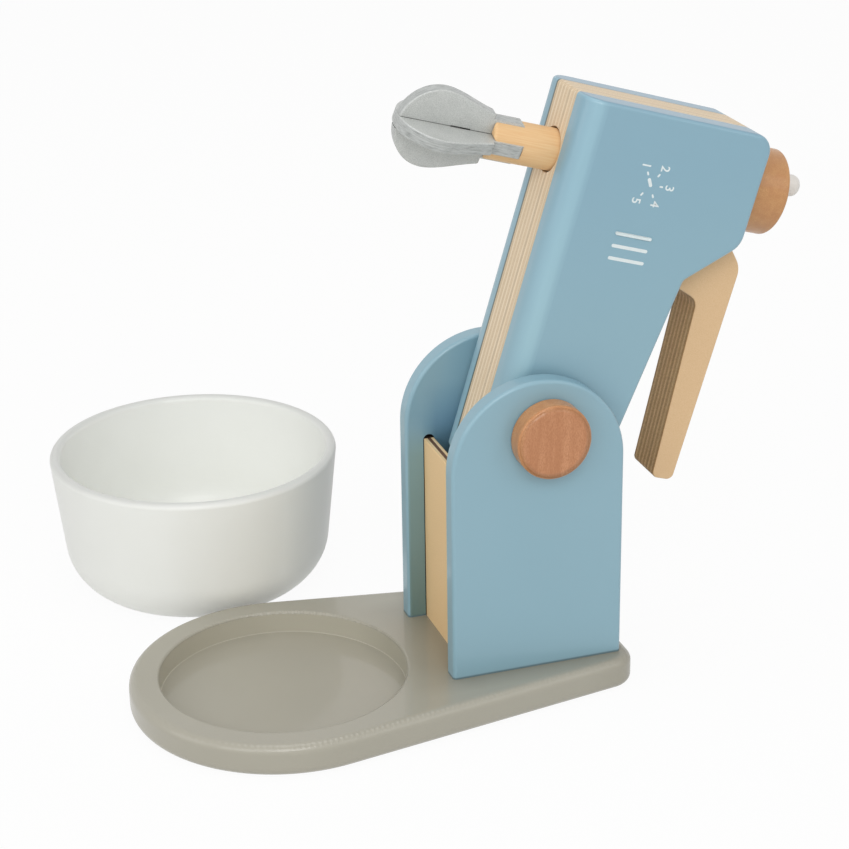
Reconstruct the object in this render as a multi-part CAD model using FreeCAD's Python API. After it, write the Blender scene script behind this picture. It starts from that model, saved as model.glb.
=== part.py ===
import FreeCAD, Part
import math
import os

from FreeCAD import Vector

# Wooden toy stand mixer with a loose bowl. Millimetres, +Z up.
# The origin is on the underside of the base plate, below the centre of the bowl recess.
# +X runs from the bowl end to the two posts; "right" is the -Y side and "left" the +Y side.
# The arm is drawn lowered (level) and is then turned up about the pivot to its parked position.

# base plate
base_thick = 13.0
base_front_radius = 60.0
base_rear_reach = 133.5
base_rear_width = 78.4
base_corner_radius = 10.0
base_top_round = 3.5
base_bottom_round = 4.0
recess_radius = 48.3
recess_depth = 9.2
recess_lip_round = 1.0

# posts, and the two panels let into them
post_setback = 4.6
post_width = 69.5
post_height = 119.2
post_thick = 8.0
post_edge_round = 1.5
panel_thick = 4.1
panel_inset = 7.6
panel_edge_round = 0.3
rear_panel_height = 56.0
groove_depth = 3.0
groove_clearance = 0.3
groove_run_out = 1.6
stop_clearance = 1.8

# screws driven up through the base into the posts
screw_spacing = 28.0
screw_shank_radius = 1.75
screw_length = 30.0
screw_tip_length = 4.0
screw_head_radius = 3.5
screw_head_height = 2.4
screw_head_sink = 0.4
screw_recess_width = 0.9
screw_recess_reach = 2.0
screw_recess_depth = 1.3

# pivot
pivot_behind_post_centre = 3.2
pivot_below_post_top = 22.2
axle_radius = 6.0
turning_clearance = 0.06
side_clearance = 0.2
washer_radius = 11.0
washer_thick = 2.0
pivot_knob_radius = 14.75
pivot_knob_thick = 8.0
pivot_knob_socket = 5.5
pivot_knob_gap = 0.3
knob_edge_round = 1.2
knob_back_round = 0.6

# arm: a plywood core between two painted cheeks
parked_angle = 106.8
core_thick = 18.8
cheek_thick = 12.0
arm_drop = 17.1
arm_crown = 61.3
arm_head_reach = 125.0
arm_tail_reach = 25.2
crown_length = 42.8
slope_run = 17.2
slope_fall = 19.3
tail_fall = 11.1
head_crown_round = 7.0
crown_rear_round = 9.0
slope_foot_round = 3.0
tail_crown_round = 12.0
cheek_front_round = 8.5
cheek_edge_round = 1.6

# handle, grown out of the core
handle_rise = 9.2
handle_back_fall = 0.45
handle_start = 81.45
handle_rake = 9.85
handle_end_reach = 17.9
handle_root_depth = 14.05
handle_root_reach = 55.8
handle_root_lean = 6.8
handle_end_depth = 9.15
handle_top_round = 9.0
handle_root_round = 5.0
handle_end_round = 2.7
handle_edge_round = 0.5

# wooden pins that line the cheeks up with the core
pin_radius = 3.0
pin_length = 34.0
pin_places = [(38.0, 20.0), (76.0, 30.0), (116.5, 44.0)]

# whisk: a dowel through the core, with two crossed blades let into its lower end
whisk_reach = 100.3
whisk_lean = 0.5
shaft_radius = 8.0
shaft_overhang = 26.2
bore_mouth_relief = 0.8
bore_mouth_depth = 3.0
shaft_end_round = 1.4
blade_thick = 5.0
blade_turn = 14.4
blade_slot_depth = 12.2
blade_tab_proud = 0.6
blade_tab_sunk = 0.1
blade_tab_round = 1.2
blade_neck_half = 10.4
blade_neck_round = 0.9
blade_neck_flare = 1.75
blade_neck_lead = 7.7
blade_belly_half = 16.0
blade_belly_at = 21.2
blade_belly_lead = 6.5
blade_length = 36.25
blade_lap_clearance = 0.15
blade_edge_round = 0.7

# crank on the upper end of the dowel
crank_knob_gap = 0.7
crank_knob_radius = 16.7
crank_knob_thick = 15.3
crank_knob_socket = 7.0
crank_peg_radius = 4.3
crank_peg_length = 18.0
crank_peg_end_round = 3.2
crank_socket_web = 0.5
crank_peg_offset = 10.3
crank_peg_turn = -77.0

# bowl, standing beside the base
bowl_radius = 60.6
bowl_height = 61.4
bowl_wall = 4.6
bowl_floor = 5.0
bowl_draft = 6.25
bowl_corner_radius = 22.8
bowl_centre = (-5.7, 116.5)

# places worked out from the sizes above
crank_peg_socket = crank_knob_thick - crank_knob_socket - crank_socket_web
post_inner_y = core_thick / 2 + cheek_thick + washer_thick + side_clearance
post_outer_y = post_inner_y + post_thick
post_rear_x = base_rear_reach - post_setback
post_front_x = post_rear_x - post_width
post_centre_x = post_front_x + post_width / 2
pivot_x = post_centre_x + pivot_behind_post_centre
pivot_z = base_thick + post_height - pivot_below_post_top
pivot = Vector(pivot_x, 0, pivot_z)
along_y = Vector(0, 1, 0)
up = Vector(0, 0, 1)
tolerance = 1e-4


def arm_point(reach, rise, y=0.0):
    """A point of the level arm: reach towards the head from the pivot, rise above it."""
    return Vector(pivot_x - reach, y, pivot_z + rise)


def park(shape):
    """Turns a piece of the level arm up to its parked position."""
    shape.rotate(pivot, along_y, parked_angle)
    return shape


def rounded_wire(corners, place):
    """A closed wire through (a, b, radius) corners; tangent arcs round the corners."""
    starts, ends, middles = [], [], []
    count = len(corners)
    for i in range(count):
        a, b, radius = corners[i]
        here = Vector(a, b, 0)
        before = Vector(corners[i - 1][0], corners[i - 1][1], 0)
        after = Vector(corners[(i + 1) % count][0], corners[(i + 1) % count][1], 0)
        to_before = (before - here).normalize()
        to_after = (after - here).normalize()
        half = to_before.getAngle(to_after) / 2
        bisector = (to_before + to_after).normalize()
        centre = here + bisector * (radius / math.sin(half))
        starts.append(here + to_before * (radius / math.tan(half)))
        ends.append(here + to_after * (radius / math.tan(half)))
        middles.append(centre - bisector * radius)
    edges = []
    for i in range(count):
        if corners[i][2] > 0:
            points = [place(p.x, p.y) for p in (starts[i], middles[i], ends[i])]
            edges.append(Part.Arc(*points).toShape())
        following = starts[(i + 1) % count]
        edges.append(Part.makeLine(place(ends[i].x, ends[i].y), place(following.x, following.y)))
    return Part.Wire(edges)


def belt_wire(circles):
    """The outline of a belt pulled tight round (x, y, radius) circles, listed anticlockwise."""
    count = len(circles)
    leaving, arriving = [None] * count, [None] * count
    for i in range(count):
        x, y, radius = circles[i]
        next_x, next_y, next_radius = circles[(i + 1) % count]
        distance = math.hypot(next_x - x, next_y - y)
        heading = math.atan2(next_y - y, next_x - x)
        normal = heading - math.acos((radius - next_radius) / distance)
        side = Vector(math.cos(normal), math.sin(normal), 0)
        leaving[i] = Vector(x, y, 0) + side * radius
        arriving[(i + 1) % count] = Vector(next_x, next_y, 0) + side * next_radius
    edges = []
    for i in range(count):
        centre = Vector(circles[i][0], circles[i][1], 0)
        chord = leaving[i] - arriving[i]
        bulge = Vector(chord.y, -chord.x, 0).normalize() * circles[i][2]
        edges.append(Part.Arc(arriving[i], centre + bulge, leaving[i]).toShape())
        edges.append(Part.makeLine(leaving[i], arriving[(i + 1) % count]))
    return Part.Wire(edges)


def slab(wire, direction):
    """A plate of the outline's shape, as thick as the direction is long."""
    return Part.Face(wire).extrude(direction)


def near(value, target):
    return abs(value - target) < tolerance


def edges_where(shape, test):
    """The edges of a shape that pass the test all along, their end points left aside."""
    found = []
    for edge in shape.Edges:
        first, last = edge.ParameterRange
        samples = [edge.valueAt(first + (last - first) * share) for share in (0.1, 0.3, 0.5, 0.7, 0.9)]
        if all(test(p) for p in samples):
            found.append(edge)
    return found


def cylinder_y(radius, y_low, y_high, centre):
    """A cylinder along Y between two heights of Y."""
    return Part.makeCylinder(radius, y_high - y_low, Vector(centre.x, y_low, centre.z), along_y)


def mirrored(shape):
    return shape.mirror(Vector(0, 0, 0), along_y)


# --- base and posts ---

def screw_places():
    """Where the screws stand, two under each post."""
    y = (post_inner_y + post_outer_y) / 2
    xs = (post_centre_x - screw_spacing / 2, post_centre_x + screw_spacing / 2)
    return [Vector(x, side * y, 0) for x in xs for side in (-1, 1)]


def make_base_plate():
    corner_x = base_rear_reach - base_corner_radius
    corner_y = base_rear_width / 2 - base_corner_radius
    circles = [
        (0, 0, base_front_radius),
        (corner_x, -corner_y, base_corner_radius),
        (corner_x, corner_y, base_corner_radius),
    ]
    plate = slab(belt_wire(circles), up * base_thick)
    plate = plate.makeFillet(base_top_round, edges_where(plate, lambda p: near(p.z, base_thick)))
    plate = plate.makeFillet(base_bottom_round, edges_where(plate, lambda p: near(p.z, 0)))
    recess_floor = base_thick - recess_depth
    recess = Part.makeCylinder(recess_radius, recess_depth, Vector(0, 0, recess_floor))
    plate = plate.cut(recess)

    def on_lip(p):
        return near(p.z, base_thick) and near(math.hypot(p.x, p.y), recess_radius)

    plate = plate.makeFillet(recess_lip_round, edges_where(plate, on_lip))
    for place in screw_places():
        plate = plate.cut(Part.makeCylinder(screw_shank_radius, base_thick, place))
        plate = plate.cut(Part.makeCylinder(screw_head_radius, screw_head_sink, place))
        plate = plate.cut(screw_head(place + up * screw_head_sink))
    return plate


def screw_head(face_centre):
    """The countersunk cone of one screw, its wide end at the given place."""
    return Part.makeCone(screw_head_radius, screw_shank_radius, screw_head_height, face_centre)


def make_screws():
    screws = []
    for place in screw_places():
        head_face = place + up * screw_head_sink
        straight = screw_length - screw_tip_length
        body = screw_head(head_face)
        body = body.fuse(Part.makeCylinder(screw_shank_radius, straight, head_face))
        tip = Part.makeCone(screw_shank_radius, 0, screw_tip_length, head_face + up * straight)
        body = body.fuse(tip)
        for turn in (0, 90):
            bar = Part.makeBox(2 * screw_recess_reach, screw_recess_width, screw_recess_depth)
            bar.translate(head_face - Vector(screw_recess_reach, screw_recess_width / 2, 0))
            bar.rotate(head_face, up, turn)
            body = body.cut(bar)
        screws.append(body.removeSplitter())
    return Part.makeCompound(screws)


def panel_fronts():
    """The x of each panel's front face."""
    return {"front": post_front_x + panel_inset, "rear": post_rear_x - panel_inset - panel_thick}


def panel_tops():
    """The z of each panel's top edge. The level arm comes down on the front panel."""
    return {"front": pivot_z - arm_drop - stop_clearance, "rear": base_thick + rear_panel_height}


def groove(which):
    """The blind groove that a panel's edge slides into, with the round end that a cutter leaves."""
    low_x = panel_fronts()[which] - groove_clearance
    width = panel_thick + 2 * groove_clearance
    centre_z = panel_tops()[which] + groove_run_out - width / 2
    corner = Vector(low_x, post_inner_y, base_thick)
    channel = Part.makeBox(width, groove_depth, centre_z - base_thick, corner)
    end = Vector(low_x + width / 2, 0, centre_z)
    return channel.fuse(cylinder_y(width / 2, post_inner_y, post_inner_y + groove_depth, end))


def make_left_post():
    radius = post_width / 2
    spring_z = base_thick + post_height - radius
    top = Vector(post_centre_x, post_inner_y, base_thick + post_height)
    low_front = Vector(post_front_x, post_inner_y, base_thick)
    low_rear = Vector(post_rear_x, post_inner_y, base_thick)
    spring_front = Vector(post_front_x, post_inner_y, spring_z)
    spring_rear = Vector(post_rear_x, post_inner_y, spring_z)
    outline = Part.Wire([
        Part.makeLine(low_rear, low_front),
        Part.makeLine(low_front, spring_front),
        Part.Arc(spring_front, top, spring_rear).toShape(),
        Part.makeLine(spring_rear, low_rear),
    ])
    post = slab(outline, along_y * post_thick)

    def on_rim(p):
        on_a_face = near(p.y, post_inner_y) or near(p.y, post_outer_y)
        return on_a_face and not near(p.z, base_thick)

    post = post.makeFillet(post_edge_round, edges_where(post, on_rim))
    bore = cylinder_y(axle_radius + turning_clearance, post_inner_y, post_outer_y, pivot)
    post = post.cut(bore)
    for which in ("front", "rear"):
        post = post.cut(groove(which))
    for place in screw_places():
        if place.y > 0:
            post = post.cut(screw_hole(place))
    return post


def screw_hole(place):
    """The pilot hole in a post, exactly as wide and deep as the screw in it."""
    tip_z = screw_head_sink + screw_length
    shank_top = tip_z - screw_tip_length
    hole = Part.makeCylinder(screw_shank_radius, shank_top - base_thick, place + up * base_thick)
    return hole.fuse(Part.makeCone(screw_shank_radius, 0, screw_tip_length, place + up * shank_top))


def make_panel(which):
    half_width = post_inner_y + groove_depth - groove_clearance
    height = panel_tops()[which] - base_thick
    corner = Vector(panel_fronts()[which], -half_width, base_thick)
    panel = Part.makeBox(panel_thick, 2 * half_width, height, corner)

    def on_long_top_edge(p):
        return near(p.z, base_thick + height) and not near(abs(p.y), half_width)

    return panel.makeFillet(panel_edge_round, edges_where(panel, on_long_top_edge))


# --- pivot ---

def make_axle():
    half = post_outer_y + pivot_knob_gap + pivot_knob_socket
    return cylinder_y(axle_radius, -half, half, pivot)


def make_left_washer():
    y_low = post_inner_y - side_clearance - washer_thick
    washer = cylinder_y(washer_radius, y_low, y_low + washer_thick, pivot)
    return washer.cut(cylinder_y(axle_radius, y_low, y_low + washer_thick, pivot))


def turned_knob(radius, thick, socket_radius, socket_depth):
    """A knob standing on its back face at the origin, with a blind socket in its back."""
    knob = Part.makeCylinder(radius, thick)
    knob = knob.makeFillet(knob_edge_round, edges_where(knob, lambda p: near(p.z, thick)))
    knob = knob.makeFillet(knob_back_round, edges_where(knob, lambda p: near(p.z, 0)))
    return knob.cut(Part.makeCylinder(socket_radius, socket_depth))


def make_left_pivot_knob():
    knob = turned_knob(pivot_knob_radius, pivot_knob_thick, axle_radius, pivot_knob_socket)
    knob.rotate(Vector(0, 0, 0), Vector(1, 0, 0), -90)
    knob.translate(Vector(pivot_x, post_outer_y + pivot_knob_gap, pivot_z))
    return knob


# --- arm ---

def arm_corners(foot_round):
    """The side outline of the arm as (reach, rise, corner radius)."""
    crown_rear = arm_head_reach - crown_length
    slope_foot = crown_rear - slope_run
    slope_foot_rise = arm_crown - slope_fall
    return [
        (-arm_tail_reach, -arm_drop, foot_round),
        (arm_head_reach, -arm_drop, foot_round),
        (arm_head_reach, arm_crown, head_crown_round),
        (crown_rear, arm_crown, crown_rear_round),
        (slope_foot, slope_foot_rise, slope_foot_round),
        (-arm_tail_reach, slope_foot_rise - tail_fall, tail_crown_round),
    ]


def make_left_cheek():
    inner_y = core_thick / 2
    outer_y = inner_y + cheek_thick
    wire = rounded_wire(arm_corners(0), lambda a, b: arm_point(a, b, inner_y))
    cheek = slab(wire, along_y * cheek_thick)
    foot_z = pivot_z - arm_drop
    long_edge = edges_where(cheek, lambda p: near(p.z, foot_z) and near(p.y, outer_y))
    cheek = cheek.makeFillet(cheek_front_round, long_edge)
    round_top = foot_z + cheek_front_round

    def on_rim(p):
        at_end = near(p.x, pivot_x - arm_head_reach) or near(p.x, pivot_x + arm_tail_reach)
        on_outer_rim = near(p.y, outer_y) and p.z > round_top + tolerance
        return on_outer_rim or (at_end and p.z < round_top)

    cheek = cheek.makeFillet(cheek_edge_round, edges_where(cheek, on_rim))
    for place in pin_places:
        cheek = cheek.cut(pin_at(place))
    return cheek.cut(make_axle())


def pin_at(place):
    return cylinder_y(pin_radius, -pin_length / 2, pin_length / 2, arm_point(*place))


def make_pins():
    return Part.makeCompound([pin_at(place) for place in pin_places])


def make_handle():
    """The grip as a plate of its own, reaching into the core."""
    top = arm_crown + handle_rise
    end_top = top - handle_back_fall
    end_low = end_top - handle_end_depth
    root_low = top - handle_root_depth
    inside = arm_crown - slope_fall / 2
    corners = [
        (handle_start + handle_rake, arm_crown - handle_rise, 0),
        (handle_start - handle_rake, top, handle_top_round),
        (-handle_end_reach, end_top, handle_end_round),
        (-handle_end_reach, end_low, handle_end_round),
        (handle_root_reach, root_low, handle_root_round),
        (handle_root_reach + handle_root_lean, inside - handle_root_depth, 0),
        (handle_start - handle_rake, inside - handle_root_depth, 0),
    ]
    wire = rounded_wire(corners, lambda a, b: arm_point(a, b, -core_thick / 2))
    handle = slab(wire, along_y * core_thick)
    rims = edges_where(handle, lambda p: near(abs(p.y), core_thick / 2))
    return handle.makeFillet(handle_edge_round, rims)


def whisk_axis_point(rise):
    return arm_point(whisk_reach, rise)


def lean_with_whisk(shape):
    """Leans a shape drawn square to the arm over onto the slightly slanted axis of the whisk."""
    shape.rotate(whisk_axis_point(0), along_y, -whisk_lean)
    return shape


def make_core():
    corners = arm_corners(cheek_edge_round)
    wire = rounded_wire(corners, lambda a, b: arm_point(a, b, -core_thick / 2))
    core = slab(wire, along_y * core_thick)
    core = core.fuse(make_handle())
    outside = whisk_axis_point(-arm_drop - shaft_radius)
    bore_radius = shaft_radius + turning_clearance
    bore = Part.makeCylinder(bore_radius, arm_drop + arm_crown + 2 * shaft_radius, outside)
    mouth_radius = shaft_radius + bore_mouth_relief
    mouth = Part.makeCylinder(mouth_radius, shaft_radius + bore_mouth_depth, outside)
    core = core.cut(lean_with_whisk(bore)).cut(lean_with_whisk(mouth)).cut(make_axle())
    for place in pin_places:
        core = core.cut(pin_at(place))
    return core.removeSplitter()


# --- whisk and crank ---

def whisk_frame(shape, turn):
    """Moves a piece drawn hanging below the origin to the end of the shaft, turned about it."""
    shape.rotate(Vector(0, 0, 0), up, turn)
    shape.translate(whisk_axis_point(-arm_drop - shaft_overhang))
    return lean_with_whisk(shape)


def make_shaft():
    top = arm_drop + arm_crown + crank_knob_gap + crank_knob_socket
    shaft = Part.makeCylinder(shaft_radius, shaft_overhang + top)
    half_span = shaft_radius + blade_thick
    for turn in (0, 90):
        corner = Vector(-half_span, -blade_thick / 2, 0)
        slot = Part.makeBox(2 * half_span, blade_thick, blade_slot_depth, corner)
        slot.rotate(Vector(0, 0, 0), up, turn)
        shaft = shaft.cut(slot)
    shaft = shaft.makeFillet(shaft_end_round, edges_where(shaft, lambda p: near(p.z, 0)))
    return whisk_frame(shaft, blade_turn)


def blade_outline():
    """One blade in the XZ plane: a narrow tab, a neck, a swelling side and an elliptical nose."""
    tab_proud, tab_sunk = -shaft_radius - blade_tab_proud, shaft_radius - blade_tab_sunk
    nose_depth = blade_length - blade_belly_at
    slope = blade_neck_flare / blade_neck_lead

    def side(sign):
        poles = [
            Vector(sign * blade_neck_half, 0, 0),
            Vector(sign * (blade_neck_half + slope * blade_neck_lead), 0, -blade_neck_lead),
            Vector(sign * blade_belly_half, 0, blade_belly_lead - blade_belly_at),
            Vector(sign * blade_belly_half, 0, -blade_belly_at),
        ]
        curve = Part.BezierCurve()
        curve.setPoles(poles)
        return curve.toShape()

    def nose():
        left, right = Vector(-blade_belly_half, 0, 0), Vector(blade_belly_half, 0, 0)
        half_circle = Part.Arc(left, Vector(0, 0, -blade_belly_half), right).toShape()
        stretch = FreeCAD.Matrix()
        stretch.scale(1, 1, nose_depth / blade_belly_half)
        curve = half_circle.transformGeometry(stretch)
        curve.translate(Vector(0, 0, -blade_belly_at))
        return curve

    top_right, low_right = Vector(tab_sunk, 0, blade_slot_depth), Vector(tab_sunk, 0, 0)
    top_left, low_left = Vector(tab_proud, 0, blade_slot_depth), Vector(tab_proud, 0, 0)
    neck_right, neck_left = Vector(blade_neck_half, 0, 0), Vector(-blade_neck_half, 0, 0)
    edges = [
        Part.makeLine(top_left, top_right),
        Part.makeLine(top_right, low_right),
        Part.makeLine(low_right, neck_right),
        side(1),
        nose(),
        side(-1),
        Part.makeLine(neck_left, low_left),
        Part.makeLine(low_left, top_left),
    ]
    return Part.Wire(Part.__sortEdges__(edges))


def make_blade(slot_from_nose):
    """A blade, halved from its nose or from its tab so that two of them cross."""
    outline = blade_outline()
    outline.translate(Vector(0, -blade_thick / 2, 0))
    blade = slab(outline, along_y * blade_thick)
    tab_corner = edges_where(blade, lambda p: near(p.z, blade_slot_depth) and p.x < -shaft_radius)
    blade = blade.makeFillet(blade_tab_round, tab_corner)
    neck_corners = edges_where(blade, lambda p: near(p.z, 0) and near(abs(p.x), blade_neck_half))
    blade = blade.makeFillet(blade_neck_round, neck_corners)

    def below_tab(p):
        return near(abs(p.y), blade_thick / 2) and p.z < -tolerance

    blade = blade.makeFillet(blade_edge_round, edges_where(blade, below_tab))
    middle = (blade_slot_depth - blade_length) / 2
    half = blade_thick / 2 + blade_lap_clearance
    if slot_from_nose:
        low, high = -blade_length - blade_thick, middle
    else:
        low, high = middle, blade_slot_depth + blade_thick
    slot = Part.makeBox(2 * half, 2 * blade_thick, high - low, Vector(-half, -blade_thick, low))
    return blade.cut(slot)


def crank_base():
    return whisk_axis_point(arm_crown + crank_knob_gap)


def peg_place():
    angle = math.radians(crank_peg_turn)
    return Vector(-crank_peg_offset * math.cos(angle), -crank_peg_offset * math.sin(angle), 0)


def make_crank_knob():
    knob = turned_knob(crank_knob_radius, crank_knob_thick, shaft_radius, crank_knob_socket)
    socket_floor = peg_place() + up * (crank_knob_thick - crank_peg_socket)
    knob = knob.cut(Part.makeCylinder(crank_peg_radius, crank_peg_socket, socket_floor))
    knob.translate(crank_base())
    return lean_with_whisk(knob)


def make_crank_peg():
    length = crank_peg_socket + crank_peg_length
    peg = Part.makeCylinder(crank_peg_radius, length)
    peg = peg.makeFillet(crank_peg_end_round, edges_where(peg, lambda p: near(p.z, length)))
    peg.translate(crank_base() + peg_place() + up * (crank_knob_thick - crank_peg_socket))
    return lean_with_whisk(peg)


# --- bowl ---

def bowl_profile(rim_radius, height, corner_radius, floor):
    """A drafted wall with a round corner above a flat floor: (foot, bend, wall foot) points."""
    draft = math.radians(bowl_draft)
    wall_foot_z = floor + corner_radius * (1 - math.sin(draft))
    wall_foot_r = rim_radius - (height - wall_foot_z) * math.tan(draft)
    centre_r = wall_foot_r - corner_radius * math.cos(draft)
    bend = (math.pi / 2 + draft) / 2
    middle_r = centre_r + corner_radius * math.cos(bend)
    middle_z = floor + corner_radius * (1 - math.sin(bend))
    return (centre_r, floor), (middle_r, middle_z), (wall_foot_r, wall_foot_z)


def make_bowl():
    lip = bowl_wall / 2
    lip_z = bowl_height - lip
    outer = bowl_profile(bowl_radius, lip_z, bowl_corner_radius, 0)
    inner_radius = bowl_radius - bowl_wall
    inner = bowl_profile(inner_radius, lip_z, bowl_corner_radius - bowl_wall, bowl_floor)

    rim = [(bowl_radius, lip_z), (bowl_radius - lip, bowl_height), (inner_radius, lip_z)]

    def line(start, end):
        return Part.makeLine(Vector(start[0], 0, start[1]), Vector(end[0], 0, end[1]))

    def arc(points):
        return Part.Arc(*[Vector(r, 0, z) for r, z in points]).toShape()

    outline = Part.Wire([
        line((0, 0), outer[0]),
        arc(outer),
        line(outer[2], rim[0]),
        arc(rim),
        line(rim[2], inner[2]),
        arc(inner[::-1]),
        line(inner[0], (0, bowl_floor)),
        line((0, bowl_floor), (0, 0)),
    ])
    bowl = Part.Face(outline).revolve(Vector(0, 0, 0), up, 360)
    bowl.translate(Vector(bowl_centre[0], bowl_centre[1], 0))
    return bowl


def make_parts():
    left_post = make_left_post()
    left_cheek = make_left_cheek()
    left_washer = make_left_washer()
    left_knob = make_left_pivot_knob()
    stand = {
        "base_plate": make_base_plate(),
        "base_screws": make_screws(),
        "left_post": left_post,
        "right_post": mirrored(left_post),
        "front_panel": make_panel("front"),
        "rear_panel": make_panel("rear"),
    }
    arm = {
        "arm_core": make_core(),
        "left_cheek": left_cheek,
        "right_cheek": mirrored(left_cheek),
        "arm_pins": make_pins(),
        "pivot_axle": make_axle(),
        "left_washer": left_washer,
        "right_washer": mirrored(left_washer),
        "left_pivot_knob": left_knob,
        "right_pivot_knob": mirrored(left_knob),
        "whisk_shaft": make_shaft(),
        "whisk_blade": whisk_frame(make_blade(True), blade_turn),
        "cross_blade": whisk_frame(make_blade(False), blade_turn + 90),
        "crank_knob": make_crank_knob(),
        "crank_peg": make_crank_peg(),
    }
    parts = dict(stand)
    for name, shape in arm.items():
        parts[name] = park(shape)
    parts["bowl"] = make_bowl()
    return parts


os.makedirs("parts", exist_ok=True)
for name, shape in make_parts().items():
    solids = len(shape.Solids)
    print(name, "valid" if shape.isValid() else "INVALID", solids, "solids", round(shape.Volume), "mm3")
    shape.exportStep("parts/" + name + ".step")
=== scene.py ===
import math

import bpy
from mathutils import Matrix, Vector


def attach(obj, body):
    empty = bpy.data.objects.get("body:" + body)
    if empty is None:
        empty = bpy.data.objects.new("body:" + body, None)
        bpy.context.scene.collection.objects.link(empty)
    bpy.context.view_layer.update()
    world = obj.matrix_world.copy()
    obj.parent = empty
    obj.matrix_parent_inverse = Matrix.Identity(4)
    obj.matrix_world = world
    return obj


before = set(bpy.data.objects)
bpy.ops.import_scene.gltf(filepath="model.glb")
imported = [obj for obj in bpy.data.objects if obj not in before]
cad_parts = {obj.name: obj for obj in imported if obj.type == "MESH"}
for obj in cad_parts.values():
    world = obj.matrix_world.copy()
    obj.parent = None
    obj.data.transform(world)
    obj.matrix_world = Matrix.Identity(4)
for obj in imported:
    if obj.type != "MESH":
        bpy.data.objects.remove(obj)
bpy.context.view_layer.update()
bpy.ops.object.select_all(action="DESELECT")
print("frame loaded:", len(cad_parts), "solids")

mm = 0.001

# places that the looks line up with, in metres, as the solids have them
toy = {
    "pivot": Vector((0.09735, 0.0, 0.110)),
    "parkedAngle": math.radians(106.8),  # the arm's turn from level to where it is parked
    "whiskOnAxis": Vector((0.12634, 0.0, 0.206019)),
    "whiskLean": math.radians(0.5),  # the dowel's bore is not quite square to the arm
    "bladeTurn": math.radians(14.4),
    "cheekFaceY": -21.4 * mm,  # outer face of the right cheek
    "coreHalf": 9.4 * mm,
    "panelHalf": 2.05 * mm,
    "grooves": {  # the middle and the top of the grooves that hold each panel
        "front_panel": (69.05 * mm, 93.1 * mm),
        "rear_panel": (119.25 * mm, 71.0 * mm),
    },
    "bowlAxis": Vector((-0.0057, 0.1165, 0.0)),
}
levelTurn = Matrix.Rotation(toy["parkedAngle"], 4, "Y")
parkArm = Matrix.Translation(toy["pivot"]) @ levelTurn @ Matrix.Translation(-toy["pivot"])
armAlong = levelTurn.to_3x3() @ Vector((-1.0, 0.0, 0.0))  # from the pivot to the head
armAcross = levelTurn.to_3x3() @ Vector((0.0, 0.0, 1.0))  # from the lower edge to the handle
dowelTurn = Matrix.Rotation(toy["parkedAngle"] - toy["whiskLean"], 4, "Y")
whiskTurn = dowelTurn @ Matrix.Rotation(toy["bladeTurn"], 4, "Z")
quarterTurn = math.pi / 2
noTurn = (0.0, 0.0, 0.0)
noTint = (1.0, 1.0, 1.0)
flatOnly = (1.0, 1.0, 0.0)  # keeps X and Y, and drops Z


def linearFromHex(text):  # "#8CADBD" as the eye reads it, turned to scene-linear light
    values = [int(text[i:i + 2], 16) / 255 for i in (1, 3, 5)]
    return tuple(v / 12.92 if v <= 0.04045 else ((v + 0.055) / 1.055) ** 2.4 for v in values) + (1.0,)


def feed(tree, node, inputs):  # each socket takes a link, a hex colour or a plain value
    for socket, value in inputs.items():
        if isinstance(value, bpy.types.Node):  # a node stands for its first output in use
            value = next(output for output in value.outputs if output.enabled)
        if isinstance(value, bpy.types.NodeSocket):
            tree.links.new(value, node.inputs[socket])
        else:
            node.inputs[socket].default_value = linearFromHex(value) if isinstance(value, str) else value


# One node, what feeds it and its settings. A Mix takes its share at 0, and what it mixes at 2 and 3 for
# numbers, 4 and 5 for vectors, 6 and 7 for colours.
def addNode(tree, kind, inputs=None, **settings):
    node = tree.nodes.new("ShaderNode" + kind)
    for name, value in settings.items():
        setattr(node, name, value)
    feed(tree, node, inputs or {})
    return node


falling = {"To Min": 1.0, "To Max": 0.0}  # turns a range round, so that it goes from 1 to 0


def between(ends, unit=1.0):  # where a range begins and ends
    return {"From Min": ends[0] * unit, "From Max": ends[1] * unit}


def ownSpace(tree, place, turn):  # the coordinates, and the object's told from a piece's own axes
    coords = addNode(tree, "TexCoord")
    return coords, addNode(tree, "Mapping", {
        "Vector": coords.outputs["Object"], "Location": place, "Rotation": turn}, vector_type="TEXTURE")


def stretchedNoise(tree, space, sizesMm, detail, roughness=0.5):  # spots of these sizes along X, Y and Z
    scaled = addNode(tree, "VectorMath", {
        0: space, 1: [1000 / size for size in sizesMm]}, operation="MULTIPLY")
    return addNode(tree, "TexNoise", {
        "Vector": scaled, "Scale": 1.0, "Detail": detail, "Roughness": roughness})


def twoTone(tree, noise, span, colour, other, most=1.0):  # the other colour takes over as the noise rises
    share = addNode(tree, "MapRange", {"Value": noise, **between(span), "To Max": most})
    return addNode(tree, "Mix", {0: share, 6: colour, 7: other}, data_type="RGBA")


shaderSockets = {
    "roughness": "Roughness",
    "specular": "Specular IOR Level",
    "metallic": "Metallic",
    "coat": "Coat Weight",
    "coatRoughness": "Coat Roughness",
}


def startMaterial(name, look):
    material = bpy.data.materials.new(name)
    material.use_nodes = True
    tree = material.node_tree
    shader = tree.nodes["Principled BSDF"]
    feed(tree, shader, {socket: look[key] for key, socket in shaderSockets.items() if key in look})
    return material, tree, shader


def setFinish(nodeNames, material):
    for name in nodeNames:
        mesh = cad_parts[name].data
        mesh.materials.clear()
        mesh.materials.append(material)


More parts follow.
